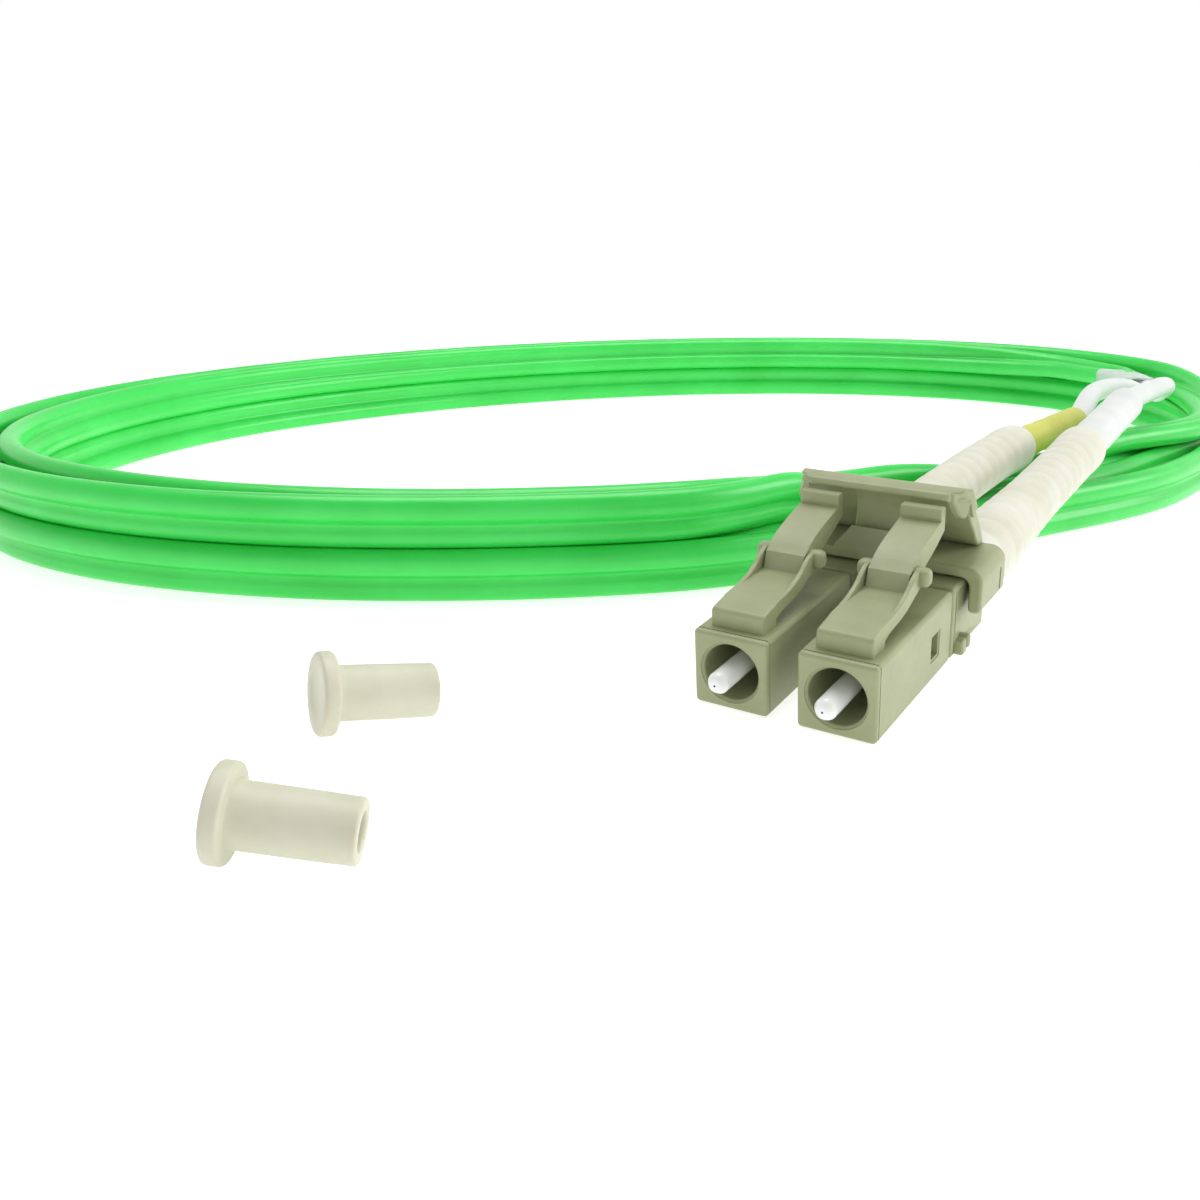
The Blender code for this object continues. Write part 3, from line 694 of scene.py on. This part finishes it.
def duplex_clip():
    """A saddle over both rear bodies, thick and rounded, with a skirt down each side."""
    wide, top, inner, roof, skirt = 6.5, 5.35, 5.7, 4.65, 2.5
    front, depth = 12.8, 4.5
    outline = [
        *arc((wide - 0.9, top - 0.9), 0.9, 90, 0, 7),
        *arc((wide - 0.38, skirt + 0.38), 0.38, 0, -90, 4),
        *arc((inner + 0.3, skirt + 0.3), 0.3, -90, -180, 4),
        *arc((inner - 0.55, roof - 0.55), 0.55, 0, 90, 6),
    ]
    outline += [(-x, z) for x, z in reversed(outline)]
    bm = bmesh.new()
    face = bm.faces.new([bm.verts.new((x, front, z)) for x, z in outline])
    made = bmesh.ops.extrude_face_region(bm, geom=[face])["geom"]
    moved = [item for item in made if isinstance(item, bmesh.types.BMVert)]
    bmesh.ops.translate(bm, verts=moved, vec=(0, depth, 0))
    rounded(bm, 0.2, 4, 60)
    ramp = flowing([(12.83, 5.2), (12.88, 5.6), (12.98, 6.1), (13.12, 6.75)], 3)
    web = rounded(prism([*ramp, (13.2, 6.78), (13.3, 5.2)], -1.75, 1.75), 0.04, 2, 60)
    for vert in web.verts:
        vert.co.x *= mixed(1.6, 1, eased(vert.co.z, 5.2, 6.9))
    cuts = [("UNION", web)]
    for x in (-wide, wide):
        cuts.append(("DIFFERENCE", block((x - 0.12, 16.2, 2.9), (x + 0.12, 16.45, 4.3))))
    return moulding("duplex_clip", bm, cuts, 0.03)


def narrowed(bm):
    """The trigger's bar narrows towards its front edge."""
    for vert in bm.verts:
        vert.co.x *= mixed(0.87, 1, eased(vert.co.y, 12.4, 13.2))
    return bm


def trigger():
    """A rounded bar over both latch tails, on a web that leans forward from the clip's rear edge."""
    foot, half, rib_half = 5.42, 5.1, 1.75
    rear = flowing([(17.2, foot), (16.75, 6.1), (16.2, 6.95), (15.4, 7.95), (14.75, 8.75), (14.3, 9.35)], 3)
    crown = flowing([(14.05, 9.66), (13.6, 9.84), (13.1, 9.86), (12.6, 9.83)], 3)
    nose = arc((12.5, 9.56), 0.26, 80, 260, 7)
    front = flowing(
        [(13.1, 9.22), (13.6, 8.95), (14.0, 8.3), (14.6, 7.4), (15.3, 6.6), (15.85, 5.8), (16.3, foot)], 3
    )
    wall = narrowed(rounded(prism([*rear, *crown, *nose, *front], -half, half), 0.14, 3, 60))
    brace = flowing([(13.05, 9.4), (13.55, 8.8), (13.86, 8.1), (13.82, 7.3), (13.6, 6.5)], 4)
    rib = prism([*brace, (14.6, 6.0), (16.4, 5.7), (14.9, 8.2), (13.9, 9.4)], -rib_half, rib_half)
    parts = [("UNION", rounded(rib, 0.12, 2, 60))]
    end_plate = [
        (12.5, 9.76), (12.5, 9.3), (12.78, 8.5), (12.95, 8.22), (13.12, 8.3), (13.62, 8.92), (13.8, 8.9),
        (14.2, 8.1), (14.4, 7.86), (14.6, 7.95), (15.0, 8.4), (14.4, 9.2), (13.9, 9.74),
    ]  # fmt: skip
    for span in ((-5.28, -4.8), (4.8, 5.28)):
        parts.append(("UNION", narrowed(rounded(prism(end_plate, *span), 0.08, 3, 60))))
    return moulding("trigger", wall, parts, 0.04)


def boot(end, side):
    """A bend limiter: a collar over the crimp, a long taper with shallow ribs, and a plain lip."""
    outside = [(1.9, 17.6), (2.08, 17.66), (2.18, 17.82), (2.2, 18.1)]
    outside += [(2.2, 21.6), (2.16, 21.75), (2.2, 21.9)]
    y = 22.4
    while y < 46.0:
        radius = mixed(2.25, 1.95, eased(y, 23, 35))
        outside += [(radius, y), (radius, y + 1.25), (radius - 0.05, y + 1.42), (radius - 0.05, y + 1.55)]
        y += 1.72
    outside += [(1.96, 46.9), (2.0, 47.2), (2.0, 48.2), (1.99, 49.0), (1.92, 49.36), (1.75, 49.5)]
    inside = [(1.15, 49.5), (1.12, 49.3), (1.12, 22.8), (1.8, 22.6), (1.8, 17.6)]
    mesh = closed_mesh("boot", turned([*outside, *inside], 64, AXIS_Z))
    for vert in mesh.vertices:
        vert.co += sag(end, side, vert.co.y)
    return whole(mesh)


def marker_sleeve(side):
    """A thin tube, slightly uneven along its length."""
    length = MARKER_LENGTH[side]
    radius = MARKER_RADIUS[side]
    outside = [(radius - 0.13, 0.0), (radius - 0.04, 0.06), (radius, 0.2)]
    for i in range(1, int(length / 0.6)):
        y = 0.6 * i
        outside.append((radius + 0.02 * math.sin(1.9 * y + 1), y))
    outside += [(radius, length - 0.2), (radius - 0.04, length - 0.06), (radius - 0.13, length)]
    profile = [*outside, (1.1, length), (1.06, length - 0.1), (1.06, 0.1), (1.1, 0.0)]
    return whole(closed_mesh(f"marker_{side}", turned(profile, 48)))


def ferrule():
    """A ceramic ferrule with a domed, chamfered tip and the fibre's end in the middle of it."""
    tip = -1.7
    profile = [
        (0, tip), (0.0625, tip), (0.2, tip + 0.006), (0.36, tip + 0.025), (0.40, tip + 0.05),
        (0.6, tip + 0.36), (0.622, tip + 0.44), (0.625, tip + 0.55), (0.625, 7.9), (0.6, 8.0), (0, 8.0),
    ]  # fmt: skip
    mesh = closed_mesh("ferrule", turned(profile, 56, AXIS_Z))
    mesh.materials.append(FINISHES["zirconia"])
    mesh.materials.append(FINISHES["fibre_glass"])
    for face in mesh.polygons:
        if all((mesh.vertices[v].co - Vector((0, tip, AXIS_Z))).length < 0.08 for v in face.vertices):
            face.material_index = 1
    return whole(mesh, 30)


def dust_cap():
    """Its open end is at y = 0 and its flange at negative y."""
    long, flange = -CAP_LENGTH, CAP_FLANGE - CAP_LENGTH
    rim, body = CAP_FLANGE_R, CAP_BODY_R
    profile = [
        (0, long + 0.06), (1.2, long + 0.06), (1.32, long),
        *arc((rim - 0.22, long + 0.22), 0.22, -90, 0, 4), *arc((rim - 0.2, flange - 0.2), 0.2, 0, 90, 4),
        (body + 0.25, flange), (body + 0.1, flange + 0.05), (body + 0.03, flange + 0.2),
        (body, flange + 0.5), (1.49, -2.0),
        (1.47, -0.3), *arc((1.33, -0.14), 0.14, 0, 90, 4), (1.0, 0), (0.9, -0.06), (0.85, -0.2),
        (0.85, -5.2), (0.8, -5.3), (0, -5.3),
    ]  # fmt: skip
    return whole(closed_mesh("dust_cap", turned(profile, 64)), 40)


# Assembly


def build_plug(tag, end, side, plug, shapes):
    """One plug's pieces, in its own frame."""
    axis = plug @ Matrix.Translation((0, 0, AXIS_Z * MM))
    bend = sag(end, side, MARKER_START)
    turn = Matrix.Rotation(-2 * bend.x / (MARKER_START - SAG_START), 4, "Z")
    droop = Matrix.Rotation(-LEG_DROOP.get((end, side), 0), 4, "X")
    marker_place = axis @ Matrix.Translation((bend + Vector((0, MARKER_START, 0))) * MM) @ turn @ droop
    marker_slot = "yellow_marker" if side == "left" else "white_jacket"
    latch, tip, marker = f"latch_{tag}", f"ferrule_{tag}", f"marker_sleeve_{tag}"
    pieces = []
    for name in ("front_housing", "rear_body"):
        pieces.append(placed(f"{name}.{tag}", shapes[name], "beige_plastic", plug, SHELLS, f"{name}_{tag}"))
    pieces += [
        placed(f"boot.{tag}", boot(end, side), "white_rubber", plug, SHELLS, f"boot_{tag}"),
        placed(f"latch.{tag}", shapes["latch_lever"], "beige_plastic", plug, latch, f"latch_lever_{tag}"),
        placed(f"tip.{tag}", shapes["ferrule"], "zirconia", plug, tip, tip),
        placed(f"marker.{tag}", shapes[f"marker_{side}"], marker_slot, marker_place, SHELLS, marker),
    ]
    if end == "far":
        seat = axis @ Matrix.Translation((0, CAP_SEAT * MM, 0))
        cap = f"dust_cap_{tag}"
        pieces.append(placed(f"cap.{tag}", shapes["dust_cap"], "ivory_plastic", seat, cap, cap))
    return pieces


def build_end(end, shapes):
    """A duplex connector and its two legs."""
    place, heading, tilt = PLACES[end]
    facing = Matrix.Rotation(heading, 4, "Z") @ Matrix.Rotation(tilt, 4, "X")
    world = Matrix.Translation(place - ORIGIN) @ facing
    pieces = []
    legs = {}
    for side, sign in (("left", -1), ("right", 1)):
        plug = world @ Matrix.Translation((sign * PITCH / 2 * MM, 0, 0))
        pieces += build_plug(f"{end}_{side}", end, side, plug, shapes)
        legs[side] = build_leg(end, side, world @ Matrix.Scale(MM, 4))
    clip, press = f"duplex_clip_{end}", f"trigger_{end}"
    pieces += [
        placed(f"clip.{end}", shapes["duplex_clip"], "beige_plastic", world, SHELLS, clip),
        placed(f"press.{end}", shapes["trigger"], "beige_plastic", world, press, press),
    ]
    return pieces, legs


def build_loose_caps(shapes):
    """Each lies on its flange's rim and the edge of its open end."""
    lift = CAP_BODY_R * math.cos(CAP_TILT) + CAP_LENGTH * math.sin(CAP_TILT)
    for name, (place, heading) in LOOSE_CAPS.items():
        spot = Matrix.Translation((Vector(place) + Vector((0, 0, lift))) * MM - ORIGIN)
        facing = Matrix.Rotation(math.radians(heading) - math.pi / 2, 4, "Z")
        turn = facing @ Matrix.Rotation(-CAP_TILT, 4, "X")
        matrix = spot @ turn @ Matrix.Translation((0, CAP_LENGTH * MM, 0))
        body = f"loose_cap_{name}"
        placed(f"cap.{name}", shapes["dust_cap"], "ivory_plastic", matrix, body, f"dust_cap_loose_{name}")


def dress_cad():
    """The inner parts that CAD already draws as they are get their finish."""
    kinds = {
        "ferrule_flange": "plated_brass",
        "ferrule_spring": "spring_steel",
        "fibre_buffer": "natural_buffer",
        "crimp_sleeve": "plated_brass",
    }
    for name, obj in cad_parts.items():
        for kind, slot in kinds.items():
            if name.startswith(kind):
                obj.data.materials.clear()
                obj.data.materials.append(FINISHES[slot])


def softbox(name, place, aim, size, energy):
    data = bpy.data.lights.new(name, "AREA")
    data.shape = "RECTANGLE"
    data.size, data.size_y = size
    data.energy = energy
    made = bpy.data.objects.new(name, data)
    bpy.context.collection.objects.link(made)
    made.location = place
    made.rotation_euler = (Vector(aim) - Vector(place)).to_track_quat("-Z", "Y").to_euler()


def studio():
    """White paper under two softboxes, with a bright horizon and a darker sky around it."""
    scene = bpy.context.scene
    scene.view_settings.view_transform = "Standard"
    world = bpy.data.worlds.new("studio")
    scene.world = world
    world.use_nodes = True
    tree = world.node_tree
    height = node(tree, "ShaderNodeSeparateXYZ")
    tree.links.new(node(tree, "ShaderNodeTexCoord").outputs["Generated"], height.inputs["Vector"])
    fade = node(tree, "ShaderNodeMapRange", interpolation_type="SMOOTHSTEP")
    fade.inputs["From Min"].default_value = 0.25
    fade.inputs["From Max"].default_value = 0.7
    fade.inputs["To Min"].default_value = 1.0
    fade.inputs["To Max"].default_value = 0.25
    tree.links.new(height.outputs["Z"], fade.inputs["Value"])
    tree.links.new(fade.outputs["Result"], tree.nodes["Background"].inputs["Strength"])
    tree.nodes["Background"].inputs["Color"].default_value = (1, 1, 1, 1)
    softbox("top", (-0.02, 0.16, 0.46), (0, 0.05, 0), (0.42, 0.3), 1.7)
    softbox("key", (0.42, 0.0, 0.26), (0, 0.02, 0), (0.25, 0.25), 1.0)
    bm = bmesh.new()
    bmesh.ops.create_grid(bm, x_segments=8, y_segments=8, size=2.5)
    floor = bpy.data.objects.new("floor", closed_mesh("floor", bm))
    paper = finish(
        "floor_paper", (0.6, 0.6, 0.6), (0.57, 0.57, 0.57), 0.8, patch=3, grain=900, relief=0.01,
        Emission_Color=(1, 1, 1, 1), Emission_Strength=0.75,
    )  # fmt: skip
    floor.data.materials.append(paper)
    floor.location.z = -0.00003
    bpy.context.collection.objects.link(floor)


def build():
    """The whole scene: camera, cord, connectors, caps, inner parts and studio."""
    camera()
    shapes = {
        "front_housing": front_housing(),
        "latch_lever": latch_lever(),
        "rear_body": rear_body(),
        "duplex_clip": duplex_clip(),
        "trigger": trigger(),
        "ferrule": ferrule(),
        "dust_cap": dust_cap(),
        "marker_left": marker_sleeve("left"),
        "marker_right": marker_sleeve("right"),
    }
    cord, line = build_zip()
    shrinks = {end: build_shrink(end) for end in SPLITS}
    _, near_legs = build_end("near", shapes)
    far_pieces, far_legs = build_end("far", shapes)
    build_loose_caps(shapes)
    dress_cad()
    studio()


build()
